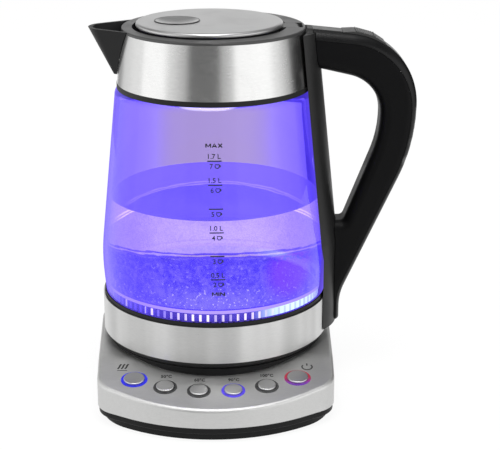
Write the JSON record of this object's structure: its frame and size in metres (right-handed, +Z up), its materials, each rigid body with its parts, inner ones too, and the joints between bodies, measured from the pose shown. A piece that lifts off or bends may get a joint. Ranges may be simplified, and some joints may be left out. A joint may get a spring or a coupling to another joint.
{
  "type": "electric kettle",
  "caption": "Cordless electric kettle: a tapered glass jug with steel bands, spout, hinged lid and loop handle, standing on a round-nosed steel base with temperature keys.",
  "frame": {"origin": "the jug's axis on the surface that the base stands on", "axes": "+Z up along the jug's axis, +X towards the handle, -Y towards the row of keys"},
  "size_m": [0.2197, 0.2033, 0.254],
  "materials": {
    "black_plastic": "satin moulded",
    "handle_gloss": "glossy moulded",
    "handle_satin": "fine moulded grain",
    "base_steel": "brushed across the panel",
    "band_steel": "brushed round the jug",
    "lid_steel": "satin",
    "plate_steel": "spun",
    "key_steel": "satin",
    "fastener": "plated",
    "contact_brass": "plated contact",
    "aluminium": "pressed",
    "circuit_board": "laminate",
    "switch_plastic": "moulded",
    "rubber": "matt",
    "seal": "silicone",
    "light_guide": "clear moulded",
    "glass": "clear",
    "ring_blue": "lit translucent",
    "ring_red": "lit translucent",
    "ring_dark": "unlit translucent"
  },
  "bodies": {
    "base": {"base_tray": "black_plastic", "base_shell": "base_steel", "seat_plinth": "black_plastic", "rubber_feet": "rubber", "tray_screws": "fastener", "base_connector": "black_plastic", "contact_ring": "contact_brass", "control_board": "circuit_board", "key_switches": "switch_plastic", "power_board": "circuit_board", "relay": "switch_plastic", "cord_gland": "rubber", "ring_keep_warm": "ring_blue", "ring_50": "ring_dark", "ring_60": "ring_dark", "ring_90": "ring_blue", "ring_100": "ring_dark", "ring_power": "ring_red"},
    "connector": {"jug_connector": "black_plastic", "contact_pin": "contact_brass"},
    "jug": {"jug_bottom_cover": "black_plastic", "lower_band": "band_steel", "lower_seal": "seal", "light_guide": "light_guide", "led_board": "circuit_board", "heater_plate": "plate_steel", "heat_spreader": "aluminium", "heating_element": "aluminium", "element_terminals": "contact_brass", "thermal_cutout": "switch_plastic", "glass_jug": "glass", "upper_seal": "seal", "upper_band": "band_steel", "collar": "black_plastic", "hinge_pin": "fastener", "spout": "black_plastic", "spout_filter": "plate_steel", "handle_stay": "handle_gloss", "handle_grip": "handle_satin", "hinge_block": "handle_gloss", "handle_cover": "handle_gloss"},
    "lid": {"lid_cap": "lid_steel", "lid_body": "black_plastic", "lid_gasket": "seal", "lid_liner": "plate_steel"},
    "lid_button": {"lid_button": "handle_satin"},
    "latch": {"latch_slider": "black_plastic"},
    "key_keep_warm": {"key_keep_warm": "key_steel"},
    "key_50": {"key_50": "key_steel"},
    "key_60": {"key_60": "key_steel"},
    "key_90": {"key_90": "key_steel"},
    "key_100": {"key_100": "key_steel"},
    "key_power": {"key_power": "key_steel"}
  },
  "joints": [
    {"name": "jug_lift", "type": "slide", "parent": "base", "child": "connector", "axis": [0, 0, 1], "range_m": [0, 0.1]},
    {"name": "jug_swivel", "type": "hinge", "parent": "connector", "child": "jug", "pos_m": [0, 0, 0.0353], "axis": [0, 0, 1], "continuous": true},
    {"name": "lid_hinge", "type": "hinge", "parent": "jug", "child": "lid", "pos_m": [0.054, 0, 0.2455], "axis": [0, 1, 0], "range_deg": [0, 80]},
    {"name": "button_press", "type": "slide", "parent": "jug", "child": "lid_button", "axis": [-0.2672, 0, -0.9636], "range_m": [0, 0.0025], "stiffness_N_per_m": 800, "springref_m": -0.0005},
    {"name": "latch_slide", "type": "slide", "parent": "jug", "child": "latch", "axis": [1, 0, 0], "range_m": [0, 0.0025]},
    {"name": "keep_warm_press", "type": "slide", "parent": "base", "child": "key_keep_warm", "axis": [0, 0.1736, -0.9848], "range_m": [0, 0.001], "stiffness_N_per_m": 400, "springref_m": -0.0005},
    {"name": "key_50_press", "type": "slide", "parent": "base", "child": "key_50", "axis": [0, 0.1736, -0.9848], "range_m": [0, 0.001], "stiffness_N_per_m": 400, "springref_m": -0.0005},
    {"name": "key_60_press", "type": "slide", "parent": "base", "child": "key_60", "axis": [0, 0.1736, -0.9848], "range_m": [0, 0.001], "stiffness_N_per_m": 400, "springref_m": -0.0005},
    {"name": "key_90_press", "type": "slide", "parent": "base", "child": "key_90", "axis": [0, 0.1736, -0.9848], "range_m": [0, 0.001], "stiffness_N_per_m": 400, "springref_m": -0.0005},
    {"name": "key_100_press", "type": "slide", "parent": "base", "child": "key_100", "axis": [0, 0.1736, -0.9848], "range_m": [0, 0.001], "stiffness_N_per_m": 400, "springref_m": -0.0005},
    {"name": "power_press", "type": "slide", "parent": "base", "child": "key_power", "axis": [0, 0.1736, -0.9848], "range_m": [0, 0.001], "stiffness_N_per_m": 400, "springref_m": -0.0005}
  ],
  "couplings": [
    {"joint": "latch_slide", "follows": "button_press", "ratio": 1}
  ]
}
